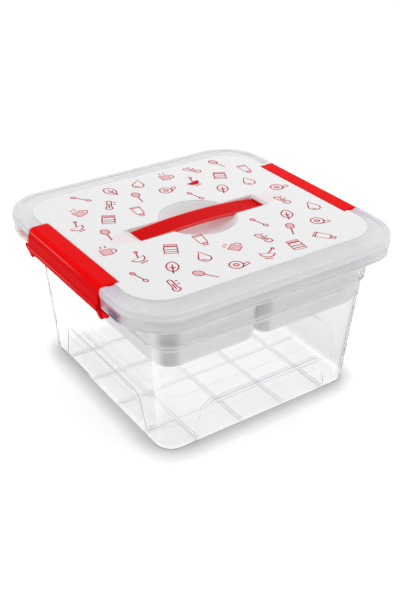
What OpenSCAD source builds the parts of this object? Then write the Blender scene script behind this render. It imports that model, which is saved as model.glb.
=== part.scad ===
/* [Tub] */
// How far the base stands in from the lid's edge at the clip sides
base_side = 36; // [32:0.5:46]
// How far the base stands in from the lid's edge at the front and back
base_front = 27.5; // [25:0.5:40]
// Corner radius of the base
base_r = 18; // [12:1:24]
// Draft of the tub's walls, in degrees
wall_draft = 4; // [3:0.5:4.5]
// Wall thickness of the tub
tub_wall = 2; // [1.6:0.1:2.4]
// How far the small outward step in the walls lies below the ledge
step_drop = 29; // [23:1:49]
// How far the walls step out there
step_out = 1.8; // [1:0.1:2.2]
// Height of the feet under the raised middle of the floor
foot_h = 0.8; // [0.5:0.1:2.5]
// Half the width of the raised cross between the feet
foot_line = 75; // [60:1:80]
// Distance between the floor ribs
rib_pitch = 50; // [40:1:52]
// Height of the pressed-in panel in each wall
panel_h = 43.5; // [30:0.5:60]
// How deep each wall panel is pressed in
panel_depth = 0.9; // [0.6:0.1:1.6]
// How far the ledge that carries the trays lies below the lid's top
ledge_drop = 16.7; // [15:0.1:24]

/* [Rim and lid] */
// Width of the lid from side to side
lid_w = 294; // [290:1:300]
// Depth of the lid from front to back
lid_d = 280; // [276:1:290]
// Corner radius of the lid
lid_r = 45; // [38:1:50]
// Height of the lid's top panel above the ground
lid_z = 165.7; // [164:0.1:170]
// Height of the lid's outer skirt
skirt_h = 7.7; // [6:0.1:9]
// Thickness of the lid
lid_t = 1.8; // [1.4:0.1:2.2]
// Radius of the lid's outer top edge
lid_edge_r = 3; // [2:0.5:4]
// Width of the lid's border beside the raised middle panel, at the clip sides
border_side = 15; // [15:0.5:18]
// Width of the lid's border at the front and back
border_front = 22.6; // [18:0.2:28]
// Corner radius of the raised middle panel
panel_r = 36; // [28:1:38]
// Depth of the channel between the panel and the rim
channel_h = 1; // [0.5:0.1:1.2]
// Half the length of the finger recess in the front and back skirt
recess_half = 64; // [40:1:80]
// Depth of the finger recess in the skirt
recess_depth = 0.8; // [0.4:0.1:1]
// Thickness of the printed label
label_t = 0.3; // [0.2:0.1:0.5]

/* [Handle] */
// Radius of the finger dish
dish_r = 38.5; // [34:0.5:42]
// Depth of the finger dish
dish_depth = 11; // [8:0.5:11.5]
// Width of the handle strap
strap_w = 24.6; // [18:0.2:26]
// Thickness of the handle strap
strap_t = 2.4; // [2:0.1:2.6]
// Height of the strap's crown above the lid panel
strap_crown = 1.3; // [0.5:0.1:2]
// How far the strap drops from its crown to its ends
strap_drop = 4.5; // [3.5:0.1:4.6]
// Distance from the lid's centre to the strap's flex line
flex_x = 34.2; // [30:0.1:36]
// Distance from the lid's centre to the end of the open strap
strap_end_x = 71; // [68:0.5:72]
// Distance from the lid's centre to the end of the hidden tail
tail_end_x = 104.5; // [98:0.5:106]
// Height of the raised border along the strap
border_h = 0.5; // [0.3:0.1:0.8]
// Width of that border
border_w = 1.6; // [1:0.1:2.5]

/* [Clips] */
// Length of each side clip
clip_len = 134; // [110:1:136]
// Distance of the clip's hinge inside the rim's face
hinge_inset = 5; // [4.5:0.1:5.5]
// How far the clip's hinge lies below the lid's top
hinge_drop = 16.2; // [15.2:0.1:16.4]
// Radius of the hinge pin
pin_r = 2.5; // [2:0.1:2.6]
// Radial clearance of the hinge pin in its bore
pin_clear = 0.08; // [0.02:0.01:0.1]
// Length of each hinge pin outside the clip
pin_len = 28.5; // [20:0.5:32]
// Wall thickness of the clip
clip_t = 2.4; // [2:0.1:2.6]
// How far the clip's top flange reaches in past the hinge
flange_reach = 13.2; // [13:0.1:14.4]
// Corner radius of the clip's top flange
flange_r = 4.5; // [2:0.5:6]
// How far the ears at the clip's ends hang below the hinge
ear_drop = 13.5; // [9:0.5:14]
// How far each ear reaches past the clip's end
ear_len = 13; // [8:0.5:15]

/* [Trays] */
// Depth of the trays below the ledge
tray_depth = 54.5; // [34:0.5:64]
// Where the two trays meet, left or right of the middle
tray_split = -10.5; // [-30:0.5:30]
// Gap between the trays at their flanges
tray_gap = 1; // [0.6:0.1:3]
// Wall thickness of the trays
tray_t = 1.8; // [1.4:0.1:2.2]
// Radius of the trays' outer corners
tray_r = 17.6; // [12:0.2:22]
// Radius of the trays' corners beside the split
tray_split_r = 12; // [8:0.5:14]
// Gap between the tray walls and the tub walls
tray_side_gap = 1.8; // [1.5:0.1:3]

/* [Hidden] */
$fn = 96;
loft_fn = 36;
eps = 0.01;
slack = 0.3;
step_h = 5;
corner_growth = 0.04;
floor_t = 2.2;
base_round = 2.4;
rib_w = 3;
rib_h = 0.8;
panel_top_half = 60;
panel_shoulder = 9;
panel_shoulder_h = 4.5;
panel_foot_half = 78;
// The rim stands outside the ledge and carries the lid
rim_w = lid_w / 2 - 1;
rim_d = lid_d / 2 - 1;
rim_r = lid_r - 1;
base_w = lid_w - 2 * base_side;
base_d = lid_d - 2 * base_front;
ledge_z = lid_z - ledge_drop;
step_z = ledge_z - step_drop;
hinge_z = lid_z - hinge_drop;
tray_z = ledge_z - tray_depth;
panel_half_w = lid_w / 2 - border_side;
panel_half_d = lid_d / 2 - border_front;
skirt_z = lid_z - skirt_h;
lid_under = lid_z - lid_t;
band_z = ledge_z - tub_wall;
upstand_in = 2.6;
upstand_t = 2;
// The pocket in the rim that holds a clip
clip_half = clip_len / 2;
pocket_half = clip_half + 1;
hinge_x = rim_w - hinge_inset;
flange_in = hinge_x - flange_reach;
pocket_in = hinge_x - 9.6;
pocket_wall = 1.8;
boss_in = hinge_x - 6.5;
boss_drop = 1.5;
bore_len = pin_len + 0.6;
// The lid's step under a clip's flange
clip_top = lid_z + label_t + slack;
seat_z = clip_top - clip_t - slack;
seat_under = seat_z - lid_t;
seat_edge = hinge_x - 5.8;
seat_wall = 1.6;
seat_wall_in = flange_in - 0.8 - seat_wall;
// The handle's arch, its trough in the lid and its guides
strap_half = strap_w / 2;
crown_z = lid_z + strap_crown;
arch_r = (strap_end_x * strap_end_x + strap_drop * strap_drop) / (2 * strap_drop);
tail_top = crown_z - strap_drop;
flex_z = crown_z - arch_r + sqrt(arch_r * arch_r - flex_x * flex_x) - strap_t / 2;
barrel_r = strap_t / 2;
tail_gap = 2.2;
trough_half = strap_half + 1.7;
trough_z = tail_top - strap_t - 1.5;
mouth_half = strap_half + 0.6;
mouth_end = strap_end_x + 1.2;
mouth_border = 1.5;
mouth_end_border = 3.6;
trough_t = 1.6;
guide_end = tail_end_x + 3.5;
guide_rail_w = 2;
guide_rail_y = 8;
rail_reach = 7;
label_gap = 0.4;
// The trays' flanges lie on the ledge
flange_gap = 1.6;
tray_flange_x = pocket_in - pocket_wall - flange_gap;
tray_flange_y = rim_d - upstand_in - upstand_t - 6;
tray_flange_r = 26;
tray_flange_in_r = 6;
tray_floor_r = 3;

// Half the tub's outer width or depth at a height, from half its width or depth at the feet
function grown(half, z) = half + z * tan(wall_draft) + step_out * min(1, max(0, (z - step_z) / step_h));
function half_x(z) = grown(base_w / 2, z);
function half_y(z) = grown(base_d / 2, z);
function corner_at(z) = base_r + z * corner_growth;
// How far a rounded bottom edge of radius r draws in at a height above the bottom
function tuck(r, h) = h >= r ? 0 : r - sqrt(r * r - (r - h) * (r - h));
// Depth of the finger dish at a distance from its centre
function dish_fall(d) = dish_depth * (1 - pow(d / dish_r, 3));

module rounded_rect(hx, hy, r) {
  square([2 * (hx - r), 2 * hy], center = true);
  square([2 * hx, 2 * (hy - r)], center = true);
  for (sx = [-1, 1], sy = [-1, 1])
    translate([sx * (hx - r), sy * (hy - r)]) circle(r);
}
module plate(hx, hy, r, z0, z1) {
  translate([0, 0, z0]) linear_extrude(z1 - z0) rounded_rect(hx, hy, r);
}
module ring(hx, hy, r, t, z0, z1) {
  difference() {
    plate(hx, hy, r, z0, z1);
    plate(hx - t, hy - t, r - t, z0 - 1, z1 + 1);
  }
}
// A bar between two corners, mirrored to both clip sides
module both_sides() {
  children();
  mirror([1, 0, 0]) children();
}
module bar(x0, x1, half_len, z0, z1) {
  translate([x0, -half_len, z0]) cube([x1 - x0, 2 * half_len, z1 - z0]);
}

// The tub's form as one loft through slices, drawn in at its lower edge
module tub_slice(z, inset) {
  translate([0, 0, z])
    linear_extrude(eps)
      rounded_rect(half_x(z) - inset, half_y(z) - inset, corner_at(z) - inset, $fn = loft_fn);
}
module tub_loft(z0, z1, inset, edge_r) {
  hull() {
    if (edge_r > 0)
      for (h = [0, edge_r * 0.3, edge_r]) tub_slice(z0 + h, inset + tuck(edge_r, h));
    else
      tub_slice(z0, inset);
    tub_slice(z1 - eps, inset);
  }
}
// The outline of a wall panel, with its top corners sloped off
module panel_outline(grow) {
  polygon([[-panel_foot_half - grow, -20], [panel_foot_half + grow, -20],
           [panel_foot_half + grow, foot_h],
           [panel_top_half + panel_shoulder + grow, panel_h - panel_shoulder_h],
           [panel_top_half + panel_shoulder * 0.6, panel_h - panel_shoulder_h * 0.3 + grow],
           [panel_top_half, panel_h + grow], [-panel_top_half, panel_h + grow],
           [-panel_top_half - panel_shoulder * 0.6, panel_h - panel_shoulder_h * 0.3 + grow],
           [-panel_top_half - panel_shoulder - grow, panel_h - panel_shoulder_h],
           [-panel_foot_half - grow, foot_h]]);
}
// The four slabs that press the panels in, from a face at that distance
module wall_panels(grow, inset) {
  for (side = [0:3])
    rotate([0, 0, 90 * side])
      translate([0, -(side % 2 == 0 ? base_d : base_w) / 2 + inset, 0])
        rotate([90 + wall_draft, 0, 0])
          linear_extrude(20) panel_outline(grow);
}
// The raised cross between the four feet
module foot_cross(z0, z1, grow) {
  for (turn = [0, 90])
    rotate([0, 0, turn])
      translate([-foot_line + grow, -base_d, z0])
        cube([2 * (foot_line - grow), 2 * base_d, z1 - z0]);
}
module tub_cavity() {
  difference() {
    union() {
      tub_loft(floor_t, step_z, tub_wall, base_round + 1);
      tub_loft(step_z, step_z + step_h, tub_wall, 0);
      tub_loft(step_z + step_h, ledge_z + 1, tub_wall, 0);
    }
    wall_panels(tub_wall - 0.4, tub_wall + panel_depth);
    foot_cross(-1, foot_h + floor_t, 0);
    for (turn = [0, 90], i = [-1.5:1:1.5])
      rotate([0, 0, turn])
        translate([i * rib_pitch - rib_w / 2, -base_d, 0])
          cube([rib_w, 2 * base_d, foot_h + floor_t + rib_h]);
  }
}
module rim() {
  plate(rim_w, rim_d, rim_r, band_z, ledge_z);
  ring(rim_w, rim_d, rim_r, tub_wall, band_z, skirt_z - slack);
  ring(rim_w, rim_d, rim_r, upstand_in + upstand_t, skirt_z - slack - upstand_t, skirt_z - slack);
  ring(rim_w - upstand_in, rim_d - upstand_in, rim_r - upstand_in, upstand_t, skirt_z - 1, lid_under);
}
module box_body() {
  color([0.9, 0.93, 0.95, 0.35])
    difference() {
      union() {
        difference() {
          union() {
            tub_loft(0, step_z, 0, base_round);
            tub_loft(step_z, step_z + step_h, 0, 0);
            tub_loft(step_z + step_h, ledge_z, 0, 0);
            difference() {
              rim();
              // Pockets for the clips, open to the outside and at the top
              both_sides()
                bar(pocket_in, lid_w, pocket_half, band_z - 5, lid_z);
              both_sides()
                bar(pocket_in - pocket_wall, lid_w, pocket_half + 2.8, skirt_z - slack, lid_z);
            }
          }
          wall_panels(0, panel_depth);
          foot_cross(-1, foot_h, 0);
        }
        // The pocket's inner wall, its end walls and the hinge bosses beside it
        both_sides() {
          bar(pocket_in - pocket_wall, pocket_in, pocket_half + pocket_wall, band_z, seat_under);
          for (s = [-1, 1]) {
            translate([pocket_in - pocket_wall, s > 0 ? pocket_half : -pocket_half - pocket_wall, band_z])
              cube([rim_w - pocket_in, pocket_wall, skirt_z - slack - band_z]);
            translate([boss_in, s > 0 ? pocket_half : -pocket_half - bore_len - 1.6, band_z - boss_drop])
              cube([rim_w - boss_in - 0.6, bore_len + 1.6, hinge_z + pin_r + 2 - band_z + boss_drop]);
          }
        }
      }
      tub_cavity();
      both_sides()
        for (s = [-1, 1])
          translate([hinge_x, s * (pocket_half - 0.5), hinge_z])
            rotate([-90 * s, 0, 0])
              cylinder(r = pin_r + pin_clear, h = bore_len + 0.5);
    }
}

// The lid's outer form: a plate with a rounded top edge over a straight skirt
module lid_shell() {
  hull()
    for (sx = [-1, 1], sy = [-1, 1])
      translate([sx * (lid_w / 2 - lid_r), sy * (lid_d / 2 - lid_r), lid_z - lid_edge_r])
        rotate_extrude($fn = 48) {
          translate([lid_r - lid_edge_r, 0]) intersection() {
            circle(lid_edge_r, $fn = 32);
            square(lid_edge_r);
          }
          square([lid_r - lid_edge_r, lid_edge_r]);
          translate([0, lid_edge_r - skirt_h]) square([lid_r, skirt_h - lid_edge_r]);
        }
}
module dish(inset) {
  steps = 14;
  translate([0, 0, lid_z])
    rotate_extrude()
      polygon(concat([[0, 1], [dish_r - inset, 1]],
                     [for (i = [steps:-1:0])
                        let (d = dish_r * i / steps)
                          [d * (dish_r - inset) / dish_r, -max(0, dish_fall(d) - inset)]]));
}
module lid_moulding() {
  difference() {
    union() {
      difference() {
        lid_shell();
        // Inside of the skirt, under the panel and under the channel
        plate(rim_w - 1.2, rim_d - 1.2, rim_r - 1.2, skirt_z - 1, lid_under);
        // The channel between the panel and the rim
        difference() {
          plate(lid_w / 2 - 8, lid_d / 2 - 8, lid_r - 8, lid_z - channel_h, lid_z + 1);
          plate(panel_half_w, panel_half_d, panel_r, lid_z - channel_h - 1, lid_z + 2);
        }
        // The finger recesses in the front and back skirt
        for (s = [-1, 1])
          translate([-recess_half, s > 0 ? lid_d / 2 - recess_depth : -lid_d / 2 - 1, skirt_z + 1])
            cube([2 * recess_half, recess_depth + 1, skirt_h - lid_edge_r - 0.5]);
        // Room for the clips
        both_sides() {
          bar(seat_wall_in + seat_wall, lid_w, pocket_half - 0.2, skirt_z - 1, lid_z + 1);
          translate([lid_w / 2, 0, lid_z - 5]) cube([4, 2 * pocket_half, 14], center = true);
        }
      }
      // Underside of the channel
      difference() {
        ring(lid_w / 2 - 6.6, lid_d / 2 - 6.6, lid_r - 6.6, 12, lid_under - channel_h, lid_under + 0.1);
        both_sides() bar(seat_wall_in, lid_w, pocket_half + 3.2, skirt_z, lid_z + 1);
      }
      // Lowered seat under each clip's flange
      both_sides() {
        bar(seat_wall_in, seat_edge, pocket_half - 0.2, seat_under, seat_z);
        bar(seat_wall_in, seat_wall_in + seat_wall, pocket_half + 1.4, seat_under, lid_z - channel_h);
        for (s = [-1, 1]) {
          translate([seat_wall_in, s > 0 ? pocket_half - 0.2 : -pocket_half - 1.4, seat_under])
            cube([seat_edge - seat_wall_in, 1.6, lid_under + 0.5 - seat_under]);
          translate([seat_edge - 1, s > 0 ? pocket_half - 0.2 : -pocket_half - 1.4, skirt_z])
            cube([lid_w / 2 - 1.2 - seat_edge + 1, 1.6, lid_under + 0.5 - skirt_z]);
        }
      }
      // Finger dish and the boxed trough for the strap, under the panel
      intersection() {
        translate([0, 0, -trough_t]) dish(0);
        cylinder(r = dish_r, h = lid_z - 0.1);
      }
      translate([0, 0, trough_z - trough_t])
        linear_extrude(lid_under + 0.1 - trough_z + trough_t)
          rounded_rect(guide_end + trough_t, trough_half + trough_t, 4);
    }
    dish(0);
    // The mouth round the strap, narrower than the trough that carries its ends and tails
    translate([0, 0, trough_z]) linear_extrude(lid_z + 1 - trough_z) rounded_rect(mouth_end, mouth_half, 1.2);
    translate([0, 0, trough_z])
      linear_extrude(lid_under - trough_z)
        rounded_rect(guide_end, trough_half, 3);
  }
}
module lid() {
  color([0.88, 0.89, 0.9, 0.6]) {
    lid_moulding();
    // Rails that the strap's ends and tails slide on
    both_sides()
      for (s = [-1, 1])
        translate([strap_end_x - rail_reach, s * guide_rail_y - guide_rail_w / 2, trough_z - 1])
          cube([guide_end - strap_end_x + rail_reach + 1, guide_rail_w,
                1 + tail_top - strap_t - slack - trough_z]);
  }
}
module lid_label() {
  color([0.95, 0.95, 0.95])
    translate([0, 0, lid_z])
      linear_extrude(label_t)
        difference() {
          rounded_rect(panel_half_w - label_gap, panel_half_d - label_gap, panel_r - label_gap);
          circle(dish_r + label_gap);
          rounded_rect(mouth_end + mouth_end_border, mouth_half + mouth_border, 3);
          for (s = [-1, 1])
            translate([s * (seat_wall_in + seat_wall - label_gap + lid_w / 2), 0])
              square([lid_w, 2 * (pocket_half + label_gap)], center = true);
        }
}

// Section of a clip: flat flange, sloped shoulder, tall face and flared lower lip
function clip_outer() = [[flange_in, clip_top], [hinge_x + 1, clip_top], [hinge_x + 3.6, clip_top - 1],
  [hinge_x + 6.4, clip_top - 4.6], [hinge_x + 7.2, clip_top - 7], [hinge_x + 8.4, hinge_z + 1],
  [hinge_x + 9.4, hinge_z - 2.4], [hinge_x + 9.4, hinge_z - 4]];
function clip_inner() = [[hinge_x + 7, hinge_z - 4], [hinge_x + 6, hinge_z - 1], [hinge_x + 4.8, clip_top - 7.4],
  [hinge_x + 4.2, clip_top - 5], [hinge_x + 2, clip_top - clip_t - 0.6], [hinge_x, clip_top - clip_t],
  [flange_in, clip_top - clip_t]];
module clip_prism(points, y0, y1) {
  translate([0, y1, 0]) rotate([90, 0, 0]) linear_extrude(y1 - y0) polygon(points);
}
// The ear under a clip's end, from its cheek out below the rim, with its far corner rounded
module ear(start) {
  root = hinge_z - 3;
  top = hinge_z - 4.6;
  low = hinge_z - ear_drop;
  far = clip_half + ear_len;
  rotate([90, 0, 90])
    linear_extrude(2.1)
      polygon([[start, root], [start, low + 1], [start + 1, low], [far - 4, low], [far - 1.2, low + 1.2],
               [far, low + 4], [far, top - 1], [far - 1, top], [clip_half + 0.4, top], [clip_half + 0.4, root]]);
}
module clip() {
  end_t = 2.2;
  web_z = hinge_z - 4;
  difference() {
    clip_prism(concat(clip_outer(), clip_inner()), -clip_half, clip_half);
    // Rounded corners of the flange
    for (s = [-1, 1])
      translate([flange_in, s * clip_half, clip_top - clip_t - 1])
        difference() {
          translate([-1, -flange_r, 0]) cube([flange_r + 1, 2 * flange_r, clip_t + 2]);
          translate([flange_r, -s * flange_r, -1]) cylinder(r = flange_r, h = clip_t + 4);
        }
  }
  for (s = [-1, 1]) {
    // End cheek, closed down to the hinge
    clip_prism([[seat_edge + 1.2, clip_top - 1], [hinge_x + 3, clip_top - 1], [hinge_x + 6, clip_top - 6],
                [hinge_x + 8, hinge_z], [hinge_x + 8, web_z], [hinge_x - 3, web_z],
                [hinge_x - 4.5, web_z + 3], [hinge_x - 4.5, clip_top - 4]],
               s > 0 ? clip_half - end_t : -clip_half, s > 0 ? clip_half : -clip_half + end_t);
    // Ear below the cheek
    mirror([0, s > 0 ? 0 : 1, 0]) translate([hinge_x + 3.5, 0, 0]) ear(clip_half - end_t);
    // Hinge pin
    translate([hinge_x, s * (clip_half - end_t / 2), hinge_z])
      rotate([-90 * s, 0, 0])
        cylinder(r = pin_r, h = pin_len + end_t / 2);
  }
  // Ribs that stiffen the face and close its lower edge
  for (i = [-2:2])
    clip_prism([[hinge_x - 2, web_z + 0.5], [hinge_x + 8, web_z + 0.5], [hinge_x + 6, clip_top - 6],
                [hinge_x + 3, clip_top - 3], [hinge_x - 2, hinge_z + 1]],
               i * clip_len / 6 - 0.8, i * clip_len / 6 + 0.8);
}
module clip_left() {
  color([0.85, 0.07, 0.08]) mirror([1, 0, 0]) clip();
}
module clip_right() {
  color([0.85, 0.07, 0.08]) clip();
}

// A tray slice: straight sides between x0 and x1, large corners outside and small ones at the split
module tray_slice(z, x0, x1, hy, out_r, in_r) {
  translate([0, 0, z])
    linear_extrude(eps)
      for (s = [-1, 1]) {
        translate([x0 + out_r, s * (hy - out_r)]) circle(out_r, $fn = loft_fn);
        translate([x1 - in_r, s * (hy - in_r)]) circle(in_r, $fn = loft_fn);
      }
}
// The tray's tapered form, lying on the left from its outer wall to the split
module tray_loft(x_out, x_in, hy, z0, z1, inset, edge_r) {
  grow = (ledge_z - tray_z) * tan(wall_draft);
  hull() {
    for (h = [0, edge_r * 0.3, edge_r])
      tray_slice(z0 + h, x_out + inset + tuck(edge_r, h), x_in - inset - tuck(edge_r, h),
                 hy - inset - tuck(edge_r, h), tray_r - inset, tray_split_r - inset);
    tray_slice(z1 - eps, x_out - grow + inset, x_in + grow * 0.3 - inset, hy + grow - inset,
               tray_r - inset, tray_split_r - inset);
  }
}
module tray(split) {
  x_out = -(half_x(tray_z) - tub_wall - tray_side_gap);
  hy = half_y(tray_z) - tub_wall - tray_side_gap;
  x_in = split - tray_gap / 2 - 1.5;
  top = ledge_z + tray_t;
  difference() {
    union() {
      tray_loft(x_out, x_in, hy, tray_z, ledge_z + 0.5, 0, tray_floor_r);
      // Flange that lies on the ledge
      translate([0, 0, ledge_z])
        linear_extrude(tray_t)
          intersection() {
            rounded_rect(tray_flange_x, tray_flange_y, tray_flange_r);
            translate([-lid_w, -lid_d]) square([lid_w + split - tray_gap / 2, 2 * lid_d]);
          }
    }
    tray_loft(x_out, x_in, hy, tray_z + tray_t, top + 1, tray_t, tray_floor_r);
  }
}
module tray_left() {
  color([0.86, 0.87, 0.88, 0.85]) tray(tray_split);
}
module tray_right() {
  color([0.86, 0.87, 0.88, 0.85]) mirror([1, 0, 0]) tray(-tray_split);
}

// A stretch of the arched strap between two distances from the middle, with its raised borders
module arch(r, half_w, x0, x1) {
  intersection() {
    translate([0, half_w, crown_z - arch_r])
      rotate([90, 0, 0])
        difference() {
          cylinder(r = r, h = 2 * half_w, $fn = 720);
          translate([0, 0, -1]) cylinder(r = arch_r - strap_t, h = 2 * half_w + 2, $fn = 720);
        }
    translate([x0, -half_w, tail_top - strap_t - 3]) cube([x1 - x0, 2 * half_w, strap_drop + strap_t + 6]);
  }
}
module strap(x0, x1) {
  arch(arch_r, strap_half, x0, x1);
  for (s = [-1, 1])
    translate([0, s * (strap_half - border_w / 2), 0]) arch(arch_r + border_h, border_w / 2, x0, x1);
}
module handle_grip() {
  color([0.84, 0.08, 0.1]) strap(-flex_x + barrel_r + slack, flex_x - barrel_r - slack);
}
module span() {
  strap(flex_x, strap_end_x);
  translate([flex_x, strap_half, flex_z]) rotate([90, 0, 0]) cylinder(r = barrel_r, h = strap_w);
}
module handle_span_left() {
  color([0.84, 0.08, 0.1]) mirror([1, 0, 0]) span();
}
module handle_span_right() {
  color([0.84, 0.08, 0.1]) span();
}
module tail() {
  translate([strap_end_x + tail_gap, -strap_half, tail_top - strap_t])
    cube([tail_end_x - strap_end_x - tail_gap, strap_w, strap_t]);
}
module handle_tail_left() {
  color([0.84, 0.08, 0.1]) mirror([1, 0, 0]) tail();
}
module handle_tail_right() {
  color([0.84, 0.08, 0.1]) tail();
}

box_body();
lid();
lid_label();
clip_left();
clip_right();
tray_left();
tray_right();
handle_grip();
handle_span_left();
handle_span_right();
handle_tail_left();
handle_tail_right();
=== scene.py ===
import bpy
import math
from mathutils import Matrix, Vector


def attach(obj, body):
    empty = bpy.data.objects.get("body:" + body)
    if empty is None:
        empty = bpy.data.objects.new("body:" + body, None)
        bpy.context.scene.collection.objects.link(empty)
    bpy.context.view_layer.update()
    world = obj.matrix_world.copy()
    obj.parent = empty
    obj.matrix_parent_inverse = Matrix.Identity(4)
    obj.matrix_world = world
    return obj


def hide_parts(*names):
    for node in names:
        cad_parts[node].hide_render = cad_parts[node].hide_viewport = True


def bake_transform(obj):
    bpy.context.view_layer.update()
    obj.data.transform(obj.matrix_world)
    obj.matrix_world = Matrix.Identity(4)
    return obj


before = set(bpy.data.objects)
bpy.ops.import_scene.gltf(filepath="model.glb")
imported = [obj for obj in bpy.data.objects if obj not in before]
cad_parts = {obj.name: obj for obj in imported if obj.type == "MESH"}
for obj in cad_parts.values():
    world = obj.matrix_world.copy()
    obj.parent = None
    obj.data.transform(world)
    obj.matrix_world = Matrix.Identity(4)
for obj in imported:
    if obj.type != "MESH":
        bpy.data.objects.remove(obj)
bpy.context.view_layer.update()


# Forms are given in millimetres, and the scene is in metres
def mm(*values):
    scaled = tuple(v / 1000 for v in values)
    return scaled[0] if len(scaled) == 1 else scaled


def clearSelection():
    if bpy.context.object and bpy.context.object.mode != "OBJECT":
        bpy.ops.object.mode_set(mode="OBJECT")
    bpy.ops.object.select_all(action="DESELECT")


def pick(piece):
    clearSelection()
    piece.select_set(True)
    bpy.context.view_layer.objects.active = piece


def newPiece(name, data):
    piece = bpy.data.objects.new(name, data)
    bpy.context.scene.collection.objects.link(piece)
    pick(piece)
    return piece


def applyTransform():
    bpy.ops.object.transform_apply(location=True, rotation=True, scale=True)


def editWhole(piece):
    pick(piece)
    bpy.ops.object.mode_set(mode="EDIT")
    bpy.ops.mesh.select_all(action="SELECT")


# Selects vertices by a test on their place in millimetres and stays in edit mode
def selectVerts(piece, test):
    bpy.ops.object.mode_set(mode="EDIT")
    bpy.ops.mesh.select_mode(type="VERT")
    bpy.ops.mesh.select_all(action="DESELECT")
    bpy.ops.object.mode_set(mode="OBJECT")
    for v in piece.data.vertices:
        v.select = test(v.co.x * 1000, v.co.y * 1000, v.co.z * 1000)
    bpy.ops.object.mode_set(mode="EDIT")


def moveVerts(piece, test, step):
    selectVerts(piece, test)
    bpy.ops.transform.translate(value=mm(*step))
    bpy.ops.object.mode_set(mode="OBJECT")


def roundCorners(piece, test, offset, segments):
    selectVerts(piece, test)
    bpy.ops.mesh.bevel(offset=mm(offset), segments=segments, affect="EDGES")
    bpy.ops.object.mode_set(mode="OBJECT")


def turnOutwards(piece):
    editWhole(piece)
    bpy.ops.mesh.normals_make_consistent(inside=False)
    bpy.ops.object.mode_set(mode="OBJECT")


def applyModifier(piece, kind, **settings):
    pick(piece)
    modifier = piece.modifiers.new(kind.title(), kind)
    for key, value in settings.items():
        setattr(modifier, key, value)
    bpy.ops.object.modifier_apply(modifier=modifier.name)


def softenEdges(piece, width, segments=2, angle=30):
    applyModifier(piece, "BEVEL", width=mm(width), segments=segments, limit_method="ANGLE",
                  angle_limit=math.radians(angle), use_clamp_overlap=True)


# Smooth shading in which broad flat faces stay flat beside their rounded edges
def smoothShade(piece, angle=35):
    pick(piece)
    bpy.ops.object.shade_smooth_by_angle(angle=math.radians(angle))
    applyModifier(piece, "WEIGHTED_NORMAL", mode="FACE_AREA", weight=50, keep_sharp=True)


# A block between two opposite corners
def addBlock(name, corner, opposite):
    clearSelection()
    sides = [sorted(pair) for pair in zip(corner, opposite)]
    bpy.ops.mesh.primitive_cube_add(size=1, location=mm(*[(low + high) / 2 for low, high in sides]))
    piece = bpy.context.object
    piece.name = name
    piece.scale = mm(*[high - low for low, high in sides])
    applyTransform()
    return piece


def unite(base, other):
    applyModifier(base, "BOOLEAN", operation="UNION", solver="EXACT", object=other)
    bpy.data.objects.remove(other)


# A mesh copy of a frame node, welded, with eased edges, that stands for it
def smoothedNode(node, name, ease=0):
    piece = newPiece(name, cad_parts[node].data.copy())
    editWhole(piece)
    bpy.ops.mesh.remove_doubles(threshold=0.000002)
    if ease:
        bpy.ops.mesh.dissolve_limited(angle_limit=math.radians(0.5))
    bpy.ops.object.mode_set(mode="OBJECT")
    bpy.ops.mesh.customdata_custom_splitnormals_clear()
    if ease:
        softenEdges(piece, ease, angle=40)
    smoothShade(piece, 40 if ease else 28)
    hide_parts(node)
    return piece


def dress(piece, material, body):
    piece.data.materials.clear()
    piece.data.materials.append(material)
    if body:
        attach(piece, body)


# Angles in degrees and the place in millimetres, as fitted to the photograph
camera = {
    "lens": 55.54, "azimuth": -34.73, "elevation": 30.85, "roll": 0.63,
    "place": (-458.43, -666.06, 555.39),
}


def placeCamera():
    a, e, r = (math.radians(camera[k]) for k in ("azimuth", "elevation", "roll"))
    back = Vector((math.sin(a) * math.cos(e), -math.cos(a) * math.cos(e), math.sin(e)))
    right = Vector((math.cos(a), math.sin(a), 0))
    up = back.cross(right)
    rolledRight = right * math.cos(r) + up * math.sin(r)
    rolledUp = up * math.cos(r) - right * math.sin(r)
    turn = Matrix((rolledRight, rolledUp, back)).transposed().to_4x4()
    clearSelection()
    bpy.ops.object.camera_add()
    cam = bpy.context.object
    cam.name = "viewCamera"
    cam.matrix_world = Matrix.Translation(Vector(mm(*camera["place"]))) @ turn
    cam.data.lens = camera["lens"]
    cam.data.sensor_width = 36
    cam.data.clip_start = 0.01
    bpy.context.scene.camera = cam


placeCamera()
print("camera placed")


def newMaterial(name):
    material = bpy.data.materials.new(name)
    material.use_nodes = True
    return material, material.node_tree, material.node_tree.nodes["Principled BSDF"]


# Puts plain values, or the sockets of other nodes, into a node's inputs
def feed(tree, node, values):
    for key, value in values.items():
        if isinstance(value, bpy.types.NodeSocket):
            tree.links.new(value, node.inputs[key])
        else:
            node.inputs[key].default_value = value


def addNode(tree, kind, values=None, **settings):
    node = tree.nodes.new(kind)
    for key, value in settings.items():
        setattr(node, key, value)
    feed(tree, node, values or {})
    return node


# One math node for a single value, or a chain of them over several
def calculate(tree, operation, total, *others):
    for other in others or (0.0,):
        total = addNode(tree, "ShaderNodeMath", {0: total, 1: other}, operation=operation).outputs["Value"]
    return total


# Carries a value from one range to another and keeps it inside
def remap(tree, value, start, stop, low=0.0, high=1.0, kind="LINEAR"):
    ends = {"Value": value, "From Min": start, "From Max": stop, "To Min": low, "To Max": high}
    return addNode(tree, "ShaderNodeMapRange", ends, interpolation_type=kind).outputs["Result"]


# Lays a second colour over a first, by a factor
def overTint(tree, first, second, factor):
    values = {"A": first, "B": second, "Factor": factor}
    return addNode(tree, "ShaderNodeMix", values, data_type="RGBA").outputs["Result"]


def splitVector(tree, vector):
    return addNode(tree, "ShaderNodeSeparateXYZ", {"Vector": vector}).outputs


def objectPlace(tree):
    return tree.nodes.new("ShaderNodeTexCoord").outputs["Object"]


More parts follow.
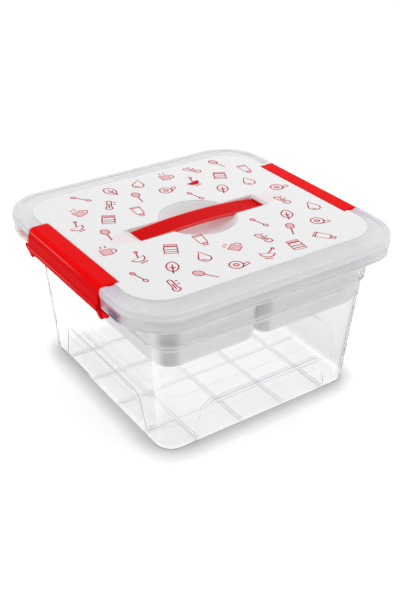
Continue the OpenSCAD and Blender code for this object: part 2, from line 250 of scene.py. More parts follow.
def objectNoise(tree, scale, detail):
    values = {"Vector": objectPlace(tree), "Scale": scale, "Detail": detail}
    return addNode(tree, "ShaderNodeTexNoise", values).outputs["Fac"]


# Gloss is a noise scale and two roughnesses; grain is a noise scale, its detail, a strength and a depth
# in metres
def surfaceFinish(tree, shader, gloss, grain):
    scale, low, high = gloss
    feed(tree, shader, {"Roughness": remap(tree, objectNoise(tree, scale, 3.0), 0.0, 1.0, low, high)})
    scale, detail, strength, depth = grain
    bump = addNode(tree, "ShaderNodeBump",
                   {"Height": objectNoise(tree, scale, detail), "Strength": strength, "Distance": depth})
    feed(tree, shader, {"Normal": bump.outputs["Normal"]})


# Lets lamps shine through a clear wall, so that it casts a pale shadow
def letLightThrough(tree, shader, tint):
    path = tree.nodes.new("ShaderNodeLightPath")
    clear = addNode(tree, "ShaderNodeBsdfTransparent", {"Color": tint})
    mix = addNode(tree, "ShaderNodeMixShader",
                  {"Fac": path.outputs["Is Shadow Ray"], 1: shader.outputs["BSDF"], 2: clear.outputs["BSDF"]})
    feed(tree, tree.nodes["Material Output"], {"Surface": mix.outputs["Shader"]})


# Soft lines across an object axis, on both sides of the middle: each has its place and half its width
def edgeLines(tree, axis, lines):
    place = calculate(tree, "ABSOLUTE", splitVector(tree, objectPlace(tree))[axis])
    faded = []
    for middle, halfWidth in lines:
        away = calculate(tree, "ABSOLUTE", calculate(tree, "SUBTRACT", place, mm(middle)))
        faded.append(remap(tree, away, mm(halfWidth), mm(halfWidth * 0.3), kind="SMOOTHSTEP"))
    return calculate(tree, "MAXIMUM", *faded)


# A soft mask over object places: each limit is an axis, where it starts and where it is full, on both sides
# of the middle unless the axis is signed
def softMask(tree, limits, signed="", centre=(0, 0, 0)):
    parts = splitVector(tree, objectPlace(tree))
    total = 1.0
    for axis, start, full in limits:
        place = calculate(tree, "SUBTRACT", parts[axis], mm(centre["XYZ".index(axis)]))
        if axis not in signed:
            place = calculate(tree, "ABSOLUTE", place)
        total = calculate(tree, "MULTIPLY", total, remap(tree, place, mm(start), mm(full), kind="SMOOTHSTEP"))
    return total


tubPlastic = {
    "tint": (0.915, 0.915, 0.92, 1), "ior": 1.14, "alpha": 0.8, "reflection": (0.6, 0.6, 0.61, 1),
    "gloss": (18, 0.0, 0.03), "grain": (20, 1, 0.01, 0.0005),
    # The side tint is painted light, keeping the walls under the clips lighter than the rest
    "sideLitTint": (1.0, 1.0, 1.0, 1), "sideTurn": (0.8, 0.95),
    # The edge tint is painted shade where a wall is seen edge-on
    "edgeShadeAndHighlightTint": (0.13, 0.135, 0.15, 1), "edgeTurn": (0.7, 0.84),
    "rimTint": (0.88, 0.875, 0.885, 1), "rimHeight": (144, 150), "rimClear": 0.7,
    # The pale lines are painted highlights along the rim's lower edge and the step
    "highlightLines": ((147, 1.8), (120, 1.5), (115, 1.5)), "highlightClear": 0.25,
    # The line tint is painted shade along the floor's ribs and the panels' creases
    "lineShadeAndHighlightTint": (0.36, 0.37, 0.39, 1),
    "ribs": ((23.5, 0.55), (26.5, 0.55), (73.5, 0.55), (76.5, 0.55)), "ribTop": 6, "ribShade": 0.65,
    "creases": ((43.4, 0.7),), "creaseEnd": (66, 60), "creaseShade": 0.8,
    # The lilac and the pin colour are painted reflections of the red clip and its pin on the rim
    "clipReflectionLilac": (0.86, 0.81, 0.9, 1),
    "besideClip": (("X", 125, 138), ("Y", -66, -70), ("Y", -106, -88), ("Z", 144, 147)),
    "pin": (0.22, 0.12, 0.28, 1),
    "atPinReflection": (("X", -134, -138), ("Y", -78, -82), ("Y", -98, -94), ("Z", 143, 146), ("Z", 154, 152)),
    "shadow": (0.97, 0.97, 0.975, 1), "footShadow": (0.35, 0.35, 0.36, 1), "footHeight": 32,
}


# Clear moulding, milky at the rim, with painted shade where a wall is seen along its length
def makeTubPlastic():
    material, tree, shader = newMaterial("clearPolypropylene")
    feed(tree, shader, {"IOR": tubPlastic["ior"], "Alpha": tubPlastic["alpha"],
                        "Specular Tint": tubPlastic["reflection"]})
    height = splitVector(tree, objectPlace(tree))["Z"]
    atRim = remap(tree, height, *mm(*tubPlastic["rimHeight"]))
    # Painted highlights: paler, less clear bands along the rim's lower edge and the step
    pale = edgeLines(tree, "Z", tubPlastic["highlightLines"])
    feed(tree, shader, {"Transmission Weight": calculate(
        tree, "MINIMUM", remap(tree, atRim, 0.0, 1.0, 1.0, tubPlastic["rimClear"]),
        remap(tree, pale, 0.0, 1.0, 1.0, tubPlastic["highlightClear"]))})
    # Painted shade: grey where the wall turns away, but not on the milky parts
    facing = addNode(tree, "ShaderNodeLayerWeight", {"Blend": 0.5})
    edge = calculate(tree, "MULTIPLY", remap(tree, facing.outputs["Facing"], *tubPlastic["edgeTurn"]),
                     calculate(tree, "SUBTRACT", 1.0, atRim), calculate(tree, "SUBTRACT", 1.0, pale))
    # Painted shade in lines along the floor's ribs and the upper creases of the pressed-in panels
    grid = calculate(tree, "MAXIMUM", *(edgeLines(tree, axis, tubPlastic["ribs"]) for axis in "XY"))
    grid = calculate(tree, "MULTIPLY", grid, calculate(tree, "LESS_THAN", height, mm(tubPlastic["ribTop"])),
                     tubPlastic["ribShade"])
    ends = calculate(tree, "MAXIMUM", *(softMask(tree, ((axis, *tubPlastic["creaseEnd"]),)) for axis in "XY"))
    crease = calculate(tree, "MULTIPLY", edgeLines(tree, "Z", tubPlastic["creases"]), ends,
                       tubPlastic["creaseShade"])
    # Painted light: the walls under the clips are left untinted, so what is seen through them is lighter
    normal = splitVector(tree, tree.nodes.new("ShaderNodeNewGeometry").outputs["Normal"])
    side = remap(tree, calculate(tree, "ABSOLUTE", normal["X"]), *tubPlastic["sideTurn"])
    # Painted reflections: the red clip and its pin tinge the rim beside them
    tint = tubPlastic["tint"]
    for layer, mask in (("sideLitTint", side), ("lineShadeAndHighlightTint", calculate(tree, "MAXIMUM", grid, crease)),
                        ("edgeShadeAndHighlightTint", edge), ("rimTint", atRim),
                        ("clipReflectionLilac", softMask(tree, tubPlastic["besideClip"], "YZ")),
                        ("pin", softMask(tree, tubPlastic["atPinReflection"], "XYZ"))):
        tint = overTint(tree, tint, tubPlastic[layer], mask)
    feed(tree, shader, {"Base Color": tint})
    surfaceFinish(tree, shader, tubPlastic["gloss"], tubPlastic["grain"])
    # The foot of the walls holds back more light than the rest
    upright = calculate(tree, "LESS_THAN", calculate(tree, "ABSOLUTE", normal["Z"]), 0.5)
    foot = calculate(tree, "MULTIPLY", remap(tree, height, mm(tubPlastic["footHeight"]), 0.0), upright)
    letLightThrough(tree, shader, overTint(tree, tubPlastic["shadow"], tubPlastic["footShadow"], foot))
    return material


lidPlastic = {
    "tint": (0.895, 0.89, 0.9, 1), "clear": 0.45, "ior": 1.25, "alpha": 0.86,
    "shadow": (0.95, 0.95, 0.955, 1), "gloss": (40, 0.08, 0.14), "grain": (120, 2, 0.04, 0.0005),
    # The line tint is painted highlight, in lines along the skirt and the top border, and painted light over
    # the shaded dish and trough
    "lineShadeAndHighlightTint": (0.98, 0.98, 0.985, 1), "lines": ((165.2, 0.42), (161, 0.8)),
    "atFront": (("Y", 100, 106),), "atSide": (("X", 106, 112),), "paintedLightAtMiddle": (("X", 100, 90), ("Y", 48, 42)),
    "topHighlightLines": ((130, 1.3), (118.4, 1.2)), "onTop": (("Z", 162, 163.5), ("X", 118, 100)),
    "solid": ((165.25, 0.6),), "atPanel": (("X", 135, 133), ("Y", 120.5, 118.5)),
    # The lilac beside the clip is a painted reflection of the red clip
    "clipReflectionLilac": (0.84, 0.79, 0.87, 1), "besideClip": (("X", 112, 126), ("Y", -62, -67), ("Y", -100, -76)),
}


# Milky moulding with painted highlight lines along its edges, painted light over its shaded middle, a painted
# reflection of the clip, and no light through the edge of the panel
def makeLidPlastic():
    material, tree, shader = newMaterial("milkyPolypropylene")
    feed(tree, shader, {"IOR": lidPlastic["ior"], "Alpha": lidPlastic["alpha"]})
    atRim = calculate(tree, "MAXIMUM", *(softMask(tree, lidPlastic[part]) for part in ("atFront", "atSide")))
    # Painted highlight lines along the skirt and the top border, and painted light over the middle
    lines = calculate(tree, "MULTIPLY", edgeLines(tree, "Z", lidPlastic["lines"]), atRim)
    topHighlightLines = calculate(tree, "MULTIPLY", edgeLines(tree, "Y", lidPlastic["topHighlightLines"]),
                         softMask(tree, lidPlastic["onTop"]))
    pale = calculate(tree, "MAXIMUM", lines, topHighlightLines, softMask(tree, lidPlastic["paintedLightAtMiddle"]))
    # Painted reflection of the red clip beside it
    tint = overTint(tree, lidPlastic["tint"], lidPlastic["clipReflectionLilac"],
                    softMask(tree, lidPlastic["besideClip"], "Y"))
    feed(tree, shader, {"Base Color": overTint(tree, tint, lidPlastic["lineShadeAndHighlightTint"], pale)})
    solid = calculate(tree, "MULTIPLY", edgeLines(tree, "Z", lidPlastic["solid"]), atRim,
                      softMask(tree, lidPlastic["atPanel"]))
    feed(tree, shader, {"Transmission Weight": remap(tree, solid, 0.0, 1.0, lidPlastic["clear"], 0.0)})
    surfaceFinish(tree, shader, lidPlastic["gloss"], lidPlastic["grain"])
    letLightThrough(tree, shader, lidPlastic["shadow"])
    return material


# The painted dark reflection band's limits across a corner are multiples of the corner's radius
trayPlastic = {
    "tint": (0.85, 0.852, 0.86, 1), "specular": 0.35, "gloss": (35, 0.3, 0.38),
    "grain": (300, 2, 0.05, 0.0004),
    "cornerReflectionShade": {"left": (0.57, 0.573, 0.58, 1), "right": (0.71, 0.713, 0.72, 1)},
    "baseHeight": 12, "radius": {"left": 17.6, "right": 12}, "cornerX": (1.1, 0.55), "cornerY": (0.7, 0.2),
    "underFlange": (3.5, 6),
}


# Matt milky plastic, with a painted dark reflection in a soft band down the upright corners on the left
def makeTrayPlastic(side, tray):
    material, tree, shader = newMaterial(side + "TrayPolypropylene")
    verts = [v.co * 1000 for v in tray.data.vertices]
    bottom, top = (fold(v.z for v in verts) for fold in (min, max))
    base = [v for v in verts if v.z < bottom + trayPlastic["baseHeight"]]
    (lowX, lowY), (highX, highY) = ([fold(v[i] for v in base) for i in range(2)] for fold in (min, max))
    radius = trayPlastic["radius"][side]
    limits = (("X", *[radius * k - (highX - lowX) / 2 for k in trayPlastic["cornerX"]]),
              ("Y", *[(highY - lowY) / 2 - radius * k for k in trayPlastic["cornerY"]]),
              ("Z", *[top - k for k in trayPlastic["underFlange"]]))
    corner = softMask(tree, limits, "XZ", ((lowX + highX) / 2, (lowY + highY) / 2, 0))
    tint = overTint(tree, trayPlastic["tint"], trayPlastic["cornerReflectionShade"][side], corner)
    feed(tree, shader, {"Base Color": tint, "Specular IOR Level": trayPlastic["specular"]})
    surfaceFinish(tree, shader, trayPlastic["gloss"], trayPlastic["grain"])
    return material


labelFilm = {
    "white": (0.86, 0.86, 0.865, 1), "specular": 0.3, "gloss": (60, 0.3, 0.36),
    # The pink tint is painted show-through of the red tails under the film
    "grain": (500, 2, 0.03, 0.0003), "paintedTailShowThrough": (0.87, 0.77, 0.78, 1), "tails": (("X", 116, 74), ("Y", 15, 7)),
    "shadow": (0.8, 0.8, 0.8, 1),
}


# White film, with a painted pink show-through of the red tails beyond the strap's ends
def makeLabelFilm():
    material, tree, shader = newMaterial("printedFilm")
    tint = overTint(tree, labelFilm["white"], labelFilm["paintedTailShowThrough"], softMask(tree, labelFilm["tails"]))
    feed(tree, shader, {"Base Color": tint, "Specular IOR Level": labelFilm["specular"]})
    surfaceFinish(tree, shader, labelFilm["gloss"], labelFilm["grain"])
    letLightThrough(tree, shader, labelFilm["shadow"])
    return material


redPlastic = {
    "ior": 1.08, "clouding": (55, 4, 0.92, 1.06), "grain": (260, 3, 0.06, 0.0004),
    # Painted highlights: pale lines along the edges, and a brighter shoulder on the clip
    "edgeShadeAndHighlightTint": (0.9, 0.12, 0.12, 1), "shoulderHighlightTint": (1.0, 0.0, 0.0, 1),
    "clipPlastic": {"colour": (0.84, 0.002, 0.004), "gloss": (90, 0.2, 0.32), "axis": "Z",
                    "shoulderHighlights": ((164.4, 2.2),), "edges": ((162.7, 0.7), (147.9, 0.7)),
                    "edgesFrom": (("Y", -45, 5),)},
    "strapPlastic": {"colour": (0.68, 0.002, 0.004), "gloss": (90, 0.32, 0.44), "axis": "Y",
                     "edges": ((11.7, 0.9),), "shadow": (1.0, 0.78, 0.78, 1)},
    "printInk": {"colour": (0.54, 0.008, 0.026), "gloss": (90, 0.4, 0.5)},
    "palePrintInk": {"colour": (0.84, 0.5, 0.53), "gloss": (90, 0.4, 0.5)},
    "accentInk": {"colour": (0.72, 0.004, 0.012), "gloss": (90, 0.4, 0.5)},
}


def makeRedPlastic(name):
    material, tree, shader = newMaterial(name)
    look = redPlastic[name]
    scale, detail, low, high = redPlastic["clouding"]
    level = remap(tree, objectNoise(tree, scale, detail), 0.0, 1.0, low, high)
    tint = addNode(tree, "ShaderNodeVectorMath", {0: look["colour"], "Scale": level},
                   operation="SCALE").outputs["Vector"]
    # Painted highlight on the clip's shoulder
    if "shoulderHighlights" in look:
        shoulderHighlight = edgeLines(tree, look["axis"], look["shoulderHighlights"])
        tint = overTint(tree, tint, redPlastic["shoulderHighlightTint"], shoulderHighlight)
    # Painted highlight lines along the edges
    if "edges" in look:
        shine = edgeLines(tree, look["axis"], look["edges"])
        if "edgesFrom" in look:
            shine = calculate(tree, "MULTIPLY", shine, softMask(tree, look["edgesFrom"], "XY"))
        tint = overTint(tree, tint, redPlastic["edgeShadeAndHighlightTint"], shine)
    feed(tree, shader, {"Base Color": tint, "IOR": redPlastic["ior"]})
    surfaceFinish(tree, shader, look["gloss"], redPlastic["grain"])
    if "shadow" in look:
        letLightThrough(tree, shader, look["shadow"])
    return material


tubClear = makeTubPlastic()
lidMilky = makeLidPlastic()
filmWhite = makeLabelFilm()
clipRed = makeRedPlastic("clipPlastic")
strapRed = makeRedPlastic("strapPlastic")
inkRed = makeRedPlastic("printInk")
inkPale = makeRedPlastic("palePrintInk")
inkAccent = makeRedPlastic("accentInk")
print("materials made")

# The step in the tub's walls lies lower than in the solids, as in the photograph
stepBand, stepMove = (119, 126), (0, 0, -5)
tub = smoothedNode("box_body", "tub", ease=0.35)
moveVerts(tub, lambda x, y, z: stepBand[0] < z < stepBand[1], stepMove)
dress(tub, tubClear, "box")
lid = smoothedNode("lid", "lidMoulding", ease=0.35)
dress(lid, lidMilky, "lid")
label = smoothedNode("lid_label", "labelFilm")
dress(label, filmWhite, "lid")
for side in ("left", "right"):
    tray = smoothedNode("tray_" + side, side + "Tray", ease=0.3)
    dress(tray, makeTrayPlastic(side, tray), "tray_" + side)
print("tub, lid and trays dressed")

# A pair named X counts outwards from the hinge. In a pair named Z the first value counts from the hinge's
# height and the second from the clip's top
clipForm = {
    "halfLength": 67, "thickness": 2.4, "softEdge": 0.7, "hinge": (141, 149.5), "top": 166.3,
    "flangeIn": 127.3, "flangeOut": 1, "flangeCorner": 4.5, "pinRadius": 2.5, "pinTip": 95.5, "pinRoot": 2,
    "cheek": (0.3, 2.2), "cheekX": (-4.5, 7.2), "cheekZ": (-4, -1.5), "topSlant": (-4.6, 0, -1.2),
    "ribs": 5, "ribWidth": 1.6, "ribX": (-2, 7.4), "ribZ": (-3.5, -1.6),
    "earX": (3.5, 5.6), "earReach": 13, "earDrop": 13.5, "earTop": 4.4, "earSlope": 6.4, "earCorner": 0.8,
    "rootX": (3.5, 8.6), "rootLength": 5, "rootLow": 3, "rootTop": 3, "rootLean": 2.5, "rootTaper": -2.8,
}


# The flange's block is drawn on along the bent section of the face
def makeClipFace(side):
    half, top, thickness, flangeIn = (clipForm[k] for k in ("halfLength", "top", "thickness", "flangeIn"))
    hingeX, hingeZ = clipForm["hinge"]
    bendX = hingeX + clipForm["flangeOut"]
    clip = addBlock(side + "Clip", (flangeIn, -half, top - thickness), (bendX, half, top))
    # Outer and inner line of the section beyond the flange
    section = [
        ((hingeX + 3.9, top - 1.1), (hingeX + 2.2, top - 2.9)),
        ((hingeX + 6.2, top - 4.4), (hingeX + 4.2, top - 5.2)),
        ((hingeX + 6.5, top - 6.6), (hingeX + 4.6, top - 6.7)),
        ((hingeX + 7.3, top - 7.2), (hingeX + 4.9, top - 7.6)),
        ((hingeX + 8.2, hingeZ + 1.4), (hingeX + 6, hingeZ - 0.4)),
        ((hingeX + 9.3, hingeZ - 1.2), (hingeX + 6.8, hingeZ - 2.6)),
        ((hingeX + 9.3, hingeZ - 5.6), (hingeX + 7, hingeZ - 5.6)),
    ]
    outer, inner = (bendX, top), (bendX, top - thickness)
    for nextOuter, nextInner in section:
        selectVerts(clip, lambda x, y, z: min(math.dist((x, z), outer), math.dist((x, z), inner)) < 0.01)
        bpy.ops.mesh.extrude_region_move()
        bpy.ops.object.mode_set(mode="OBJECT")
        for v in clip.data.vertices:
            if v.select:
                isOuter = v.co.z * 1000 > (outer[1] + inner[1]) / 2 - 0.001
                # Where the section runs upright, its two lines lie side by side
                if abs(outer[1] - inner[1]) < 0.9:
                    isOuter = v.co.x * 1000 > (outer[0] + inner[0]) / 2
                v.co.x, v.co.z = mm(*(nextOuter if isOuter else nextInner))
        outer, inner = nextOuter, nextInner
    for s in (-1, 1):
        roundCorners(clip, lambda x, y, z: x < flangeIn + 0.1 and y * s > half - 0.1,
                     clipForm["flangeCorner"], 5)
    softenEdges(clip, clipForm["softEdge"], 3, 17)
    return clip


# A cheek or rib between two places along the clip, its outer top corner cut back behind the face
def addSlanted(kind, start, stop):
    hingeX, hingeZ = clipForm["hinge"]
    (inX, outX), (lowZ, highZ) = clipForm[kind + "X"], clipForm[kind + "Z"]
    top = clipForm["top"] + highZ
    piece = addBlock(kind, (hingeX + inX, start, hingeZ + lowZ), (hingeX + outX, stop, top))
    moveVerts(piece, lambda x, y, z: x > hingeX + outX - 0.1 and z > top - 0.1, clipForm["topSlant"])
    return piece


# The cheek, ear and hinge pin at one end of a clip: the ear reaches out below the rim, on a root behind
# the cheek
def addClipEnd(clip, s):
    half = clipForm["halfLength"]
    hingeX, hingeZ = clipForm["hinge"]
    far, low = half + clipForm["earReach"], hingeZ - clipForm["earDrop"]
    cheekOut, cheekIn = (half - k for k in clipForm["cheek"])
    unite(clip, addSlanted("cheek", s * cheekIn, s * cheekOut))
    rootIn, rootOut = (hingeX + k for k in clipForm["rootX"])
    root = addBlock("root", (rootIn, s * (half - clipForm["rootLength"]), low + clipForm["rootLow"]),
                    (rootOut, s * half, hingeZ - clipForm["rootTop"]))
    # Its foot leans outwards along the ear and thins to about the ear's outer face
    atFoot = low + clipForm["rootLow"] + 1
    moveVerts(root, lambda x, y, z: z < atFoot, (0, s * clipForm["rootLean"], -clipForm["rootLow"]))
    moveVerts(root, lambda x, y, z: z < atFoot and x > rootOut - 1, (clipForm["rootTaper"], 0, 0))
    earIn, earOut = (hingeX + k for k in clipForm["earX"])
    ear = addBlock("ear", (earIn, s * (half - 1), low), (earOut, s * far, hingeZ - clipForm["earTop"]))
    moveVerts(ear, lambda x, y, z: y * s > far - 0.1 and z < low + 0.1, (0, 0, clipForm["earSlope"]))
    roundCorners(ear, lambda x, y, z: y * s > far - 0.1, clipForm["earCorner"], 3)
    softenEdges(ear, 0.3)
    unite(ear, root)
    unite(clip, ear)
    clearSelection()
    tip, start = clipForm["pinTip"], half - clipForm["pinRoot"]
    bpy.ops.mesh.primitive_cylinder_add(
        vertices=32, radius=mm(clipForm["pinRadius"]), depth=mm(tip - start),
        location=mm(hingeX, s * (tip + start) / 2, hingeZ), rotation=(math.radians(90), 0, 0))
    pin = bpy.context.object
    applyTransform()
    softenEdges(pin, 0.4)
    unite(clip, pin)


# One side clip, modelled on the right and mirrored for the left
def makeClip(side):
    clip = makeClipFace(side)
    for s in (-1, 1):
        addClipEnd(clip, s)
    ribs = clipForm["ribs"]
    for i in range(ribs):
        middle = (i - (ribs - 1) / 2) * clipForm["halfLength"] * 2 / (ribs + 1)
        unite(clip, addSlanted("rib", *(middle + k * clipForm["ribWidth"] / 2 for k in (-1, 1))))
    if side == "left":
        pick(clip)
        clip.scale = (-1, 1, 1)
        applyTransform()
        turnOutwards(clip)
    smoothShade(clip)
    return clip


for side in ("left", "right"):
    clip = makeClip(side)
    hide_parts("clip_" + side)
    dress(clip, clipRed, "clip_" + side)
print("clips modelled")

strapForm = {
    "halfWidth": 12.3, "thickness": 2.4, "crown": 167.0, "drop": 4.5, "endX": 71, "bendX": 34.2,
    "border": 1.6, "borderHeight": 0.5, "cornerIn": 1.2, "softEdge": 0.45, "columns": 72,
    "bendHalf": 5, "bendHeights": (164.8, 164.6),
}


def strapDrop(x):
    radius = (strapForm["endX"] ** 2 + strapForm["drop"] ** 2) / (2 * strapForm["drop"])
    return radius - math.sqrt(radius * radius - x * x)


# The whole strap, arched, with raised borders and rounded ends
def makeStrap():
    half, thick, crown, endX = (strapForm[k] for k in ("halfWidth", "thickness", "crown", "endX"))
    strap = addBlock("wholeStrap", (-endX, -half, crown - thick), (endX, half, crown))
    pick(strap)
    bpy.ops.object.mode_set(mode="EDIT")
    for i in range(1, strapForm["columns"]):
        bpy.ops.mesh.select_all(action="SELECT")
        x = -endX + 2 * endX * i / strapForm["columns"]
        bpy.ops.mesh.bisect(plane_co=mm(x, 0, 0), plane_no=(1, 0, 0))
    for y in (-half + strapForm["border"], half - strapForm["border"]):
        bpy.ops.mesh.select_all(action="SELECT")
        bpy.ops.mesh.bisect(plane_co=mm(0, y, 0), plane_no=(0, 1, 0))
    moveVerts(strap, lambda x, y, z: abs(y) > half - 0.1 and z > crown - 0.1,
              (0, 0, strapForm["borderHeight"]))
    for v in strap.data.vertices:
        if abs(v.co.x) > mm(endX - 0.1) and abs(v.co.y) > mm(half - 0.1):
            v.co.x *= 1 - strapForm["cornerIn"] / endX
        v.co.z -= mm(strapDrop(v.co.x * 1000))
    softenEdges(strap, strapForm["softEdge"], 3, 25)
    smoothShade(strap)
    return strap


def strapHalf(whole, side):
    half = newPiece(side + "Strap", whole.data.copy())
    editWhole(half)
    bpy.ops.mesh.bisect(plane_co=(0, 0, 0), plane_no=(1, 0, 0), use_fill=True,
                        clear_outer=side == "left", clear_inner=side == "right")
    bpy.ops.object.mode_set(mode="OBJECT")
    smoothShade(half)
    return half


wholeStrap = makeStrap()
for side, way in (("left", -1), ("right", 1)):
    strap = strapHalf(wholeStrap, side)
    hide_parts(*(["handle_grip"] if side == "left" else []), "handle_span_" + side)
    dress(strap, strapRed, None)
    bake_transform(strap)
    tail = smoothedNode("handle_tail_" + side, side + "Tail")
    softenEdges(tail, 0.4)
    dress(tail, strapRed, "tail_" + side)
bpy.data.objects.remove(wholeStrap)
print("strap modelled")

printForm = {
    "line": 1.35, "height": 0.07, "top": 166.0, "rowPitch": 28, "columnPitch": 33.5, "rows": 8, "columns": 8,
    "reach": (121, 108), "cornerCut": 26, "besideClip": (115, 80), "besideHandle": (86, 22), "dishRadius": 48,
    "scale": 1.35, "turns": (-28, 12, 36, -8), "motifStep": 3, "filled": 33, "paleThickness": 0.6,
}


def arc(x, y, radius, start, stop, steps=14, squash=1.0):
    angles = [math.radians(start + (stop - start) * i / steps) for i in range(steps + 1)]
    return [(x + radius * math.cos(a), y + radius * squash * math.sin(a)) for a in angles]


# Each motif is a list of strokes: points in millimetres and whether the stroke is closed
def thermometer():
    return [(arc(0, -5, 2.6, 130, 410) + [(1.6, 5.5)] + arc(0, 5.5, 1.6, 0, 180, 8) + [(-1.6, -3)], True),
            ([(0, -5), (0, 2)], False), ([(2.9, 4.4), (4.9, 4.4)], False), ([(2.9, 0.6), (4.9, 0.6)], False)]


def drop():
    return [(arc(0, -2, 4.4, -215, 35) + [(0, 7.5)], True), (arc(0, -2, 2.4, 200, 280, 6), False)]


def leaf():
    return [(arc(-3.2, 0, 7.6, -62, 62) + arc(3.8, 0, 7.6, 118, 242), True), ([(0.3, -9), (0.3, 3)], False),
            ([(0.3, -2.5), (2.3, -0.5)], False), ([(0.3, -2.5), (-1.8, -0.5)], False)]


def spoon():
    return [(arc(0, 5, 2.9, -90, 270, 18, 1.35), True), ([(0, 1.1), (0, -8.5)], False)]


def mug():
    return [([(-4.4, 3), (-3.8, -5), (3, -5), (3.6, 3)], True), (arc(3.9, -0.8, 2.6, 80, -80, 10), False),
            ([(-2, 5.2), (-2, 8)], False), ([(1.2, 5.2), (1.2, 8)], False)]


def tube():
    return [([(-3.6, 7.5), (3.6, 7.5), (2.8, -4.5), (-2.8, -4.5)], True), ([(-3.4, 6), (3.4, 6)], False),
            ([(-1.7, -4.9), (-1.5, -8), (1.5, -8), (1.7, -4.9)], True)]


def mortar():
    return [([(-5.5, 1.5)] + arc(0, 1.5, 5, 190, 350, 14) + [(5.5, 1.5)], True),
            ([(-3, -5.6), (3, -5.6)], False), ([(0.8, 1.8), (4.6, 8)], False),
            (arc(4.9, 8.4, 1.1, 0, 360, 8)[:-1], True)]


def jar():
    return [([(-4, 3.6), (-4.6, 2.4), (-4.6, -6), (4.6, -6), (4.6, 2.4), (4, 3.6)], True),
            ([(-4.4, 4.4), (-4.4, 7), (4.4, 7), (4.4, 4.4)], True), ([(-4.4, -0.5), (4.4, -0.5)], False),
            ([(-4.4, -3.6), (4.4, -3.6)], False)]


def roll():
    return [(arc(-1, 0, 4.8, 0, 360, 22)[:-1], True), (arc(-1, 0, 1.8, 0, 360, 12)[:-1], True),
            ([(-1, -4.8), (7.2, -4.8), (7.2, -2.4), (3.2, -2.4)], False)]


def cottonBud():
    return [([(0, -4.6), (0, 4.6)], False), (arc(0, 6.2, 1.3, 0, 360, 12, 1.5)[:-1], True),
            (arc(0, -6.2, 1.3, 0, 360, 12, 1.5)[:-1], True)]


motifs = (thermometer, leaf, jar, spoon, drop, tube, roll, mug, cottonBud, mortar)
# The stroke of these motifs that is filled in pale
paleMotifs = {jar: 1, spoon: 0, tube: 2, mug: 0, roll: 1, cottonBud: 1}


def isFreeSpot(x, y):
    reachX, reachY = printForm["reach"]
    clipX, clipY = printForm["besideClip"]
    handleX, handleY = printForm["besideHandle"]
    onClip = abs(x) > clipX and abs(y) < clipY
    inCorner = abs(x) + abs(y) > reachX + reachY - printForm["cornerCut"]
    onHandle = (abs(x) < handleX and abs(y) < handleY) or math.hypot(x, y) < printForm["dishRadius"]
    return abs(x) < reachX and abs(y) < reachY and not (onClip or inCorner or onHandle)


def addStroke(curve, points, closed, spot):
    x, y, turn = spot
    spline = curve.splines.new("POLY")
    spline.points.add(len(points) - 1)
    across, along = math.cos(turn) * printForm["scale"], math.sin(turn) * printForm["scale"]
    for point, (px, py) in zip(spline.points, points):
        point.co = (*mm(x + px * across - py * along, y + px * along + py * across, 0), 1)
    spline.use_cyclic_u = closed


def newFill(name, thickness):
    fill = bpy.data.curves.new(name, "CURVE")
    fill.dimensions = "2D"
    fill.fill_mode = "BOTH"
    fill.extrude = mm(printForm["line"] / 2 * thickness)
    return fill


# The free places of a staggered grid, each with the turn of its motif
def motifSpots():
    rows, columns, turns = (printForm[k] for k in ("rows", "columns", "turns"))
    for row in range(rows):
        for column in range(columns):
            x = (column - (columns - 1) / 2 + (row % 2) / 2 - 0.25) * printForm["columnPitch"]
            y = (row - (rows - 1) / 2) * printForm["rowPitch"]
            if isFreeSpot(x, y):
                yield x, y, math.radians(turns[(row + 3 * column) % len(turns)])


# Lines for every motif, a pale fill for some and a full one for a single motif near the back
def drawMotifs():
    lines = bpy.data.curves.new("printLines", "CURVE")
    lines.dimensions = "3D"
    lines.bevel_depth = mm(printForm["line"] / 2)
    lines.bevel_resolution = 1
    lines.use_fill_caps = True
    accent, pale = newFill("accent", 1), newFill("paleFill", printForm["paleThickness"])
    for count, spot in enumerate(motifSpots()):
        motif = motifs[printForm["motifStep"] * count % len(motifs)]
        strokes = motif()
        for points, closed in strokes:
            addStroke(lines, points, closed, spot)
        if count == printForm["filled"]:
            addStroke(accent, strokes[0][0], True, spot)
        elif motif in paleMotifs:
            addStroke(pale, strokes[paleMotifs[motif]][0], True, spot)
    return accent, pale, lines


printNames = ("labelAccent", "labelPalePrint", "labelPrint")
for name, curve, ink in zip(printNames, drawMotifs(), (inkAccent, inkPale, inkRed)):
    part = newPiece(name, curve)
    bpy.ops.object.convert(target="MESH")
    part.scale.z = printForm["height"] * 2 / printForm["line"]
    part.location.z = mm(printForm["top"])
    applyTransform()
    editWhole(part)
    bpy.ops.mesh.remove_doubles(threshold=0.000002)
    bpy.ops.object.mode_set(mode="OBJECT")
    turnOutwards(part)
    dress(part, ink, "lid")
print("label printed")

# The floor's size and all of the lamps' lengths are in metres
studio = {
    "floorSize": 6, "floorDrop": 0.5, "floorShade": 0.86, "floorGloss": 0.08,
    "seenLift": 0.4, "throughLift": 0.58, "besideLift": 0.15, "beside": (("X", 108, 122),),
    "contactReach": 22, "contactShade": 0.35, "contactPower": 1.6,
    "room": 0.68, "darkSide": (-0.57, -0.82, 0), "darkFrom": (0.1, 0.7), "darkShare": 0.85,
    "lamps": (("topLamp", (0.65, 0.55, 1.2), 5.0), ("rightLamp", (0.9, -1.3, 0.6), 6.0),
              ("leftLamp", (-1.3, 0.1, 0.7), 3.6)),
    "lampSize": 0.8, "lampAim": (0, 0, 0.1),
}


def grey(level):
    return (level, level, level, 1)


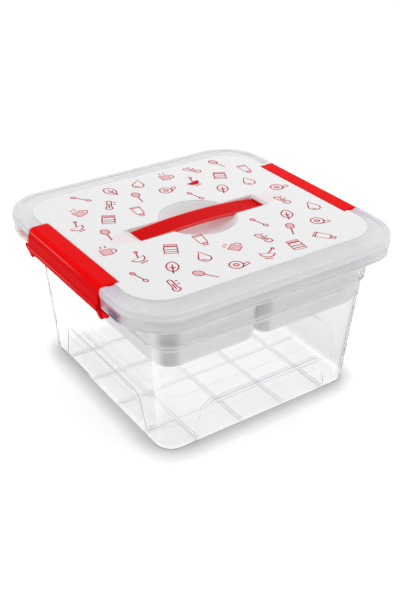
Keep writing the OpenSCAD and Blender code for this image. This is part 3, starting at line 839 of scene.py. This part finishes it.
def makeFloor():
    clearSelection()
    bpy.ops.mesh.primitive_plane_add(size=studio["floorSize"], location=(0, 0, -mm(studio["floorDrop"])))
    floor = bpy.context.object
    floor.name = "studioFloor"
    applyTransform()
    material, tree, shader = newMaterial("paleFloor")
    path = tree.nodes.new("ShaderNodeLightPath").outputs
    # The narrow contact shadow beside the base, painted by occlusion for camera rays
    near = addNode(tree, "ShaderNodeAmbientOcclusion", {"Distance": mm(studio["contactReach"])}, samples=8)
    openness = calculate(tree, "POWER", near.outputs["AO"], studio["contactPower"])
    contact = calculate(tree, "MULTIPLY", calculate(tree, "SUBTRACT", 1.0, openness), path["Is Camera Ray"])
    shade, dark = studio["floorShade"], studio["contactShade"]
    # Painted light: through the clear walls the floor glows paler under the box than to the right of it
    through = remap(tree, softMask(tree, studio["beside"], "X"), 0.0, 1.0, studio["throughLift"],
                    studio["besideLift"])
    lift = calculate(tree, "MAXIMUM", calculate(tree, "MULTIPLY", path["Is Camera Ray"], studio["seenLift"]),
                     calculate(tree, "MULTIPLY", through, path["Is Transmission Ray"]))
    feed(tree, shader, {"Base Color": overTint(tree, grey(shade), grey(shade * dark), contact),
                        "Roughness": studio["floorGloss"], "Emission Strength": lift,
                        "Emission Color": overTint(tree, grey(1.0), grey(dark), contact)})
    floor.data.materials.append(material)


# White where it is seen, and plain room light on the object
def makeRoom():
    world = bpy.data.worlds.new("studioWorld")
    bpy.context.scene.world = world
    world.use_nodes = True
    tree = world.node_tree
    path = tree.nodes.new("ShaderNodeLightPath").outputs
    seen = calculate(tree, "MAXIMUM", path["Is Camera Ray"], path["Is Glossy Ray"],
                     path["Is Transmission Ray"])
    # Light that has left a matt surface is room light, also beyond a clear wall
    seen = calculate(tree, "MULTIPLY", seen, calculate(tree, "LESS_THAN", path["Diffuse Depth"], 0.5))
    # Less light from one side of the room, between the two soft lamps
    direction = tree.nodes.new("ShaderNodeTexCoord").outputs["Generated"]
    along = addNode(tree, "ShaderNodeVectorMath", {0: direction, 1: studio["darkSide"]},
                    operation="DOT_PRODUCT")
    room = remap(tree, along.outputs["Value"], *studio["darkFrom"], studio["room"],
                 studio["room"] * studio["darkShare"], "SMOOTHSTEP")
    strength = remap(tree, seen, 0.0, 1.0, room, 1.0)
    feed(tree, tree.nodes["Background"], {"Color": grey(1.0), "Strength": strength})


def makeLamps():
    for name, place, power in studio["lamps"]:
        clearSelection()
        bpy.ops.object.light_add(type="AREA", location=place)
        lamp = bpy.context.object
        lamp.name = name
        lamp.data.size = studio["lampSize"]
        lamp.data.energy = power
        lamp.visible_glossy = False
        lamp.visible_transmission = False
        aim = Vector(studio["lampAim"]) - Vector(place)
        lamp.rotation_euler = aim.to_track_quat("-Z", "Y").to_euler()


makeFloor()
makeRoom()
makeLamps()
bpy.context.scene.view_settings.view_transform = "Standard"
print("studio set")
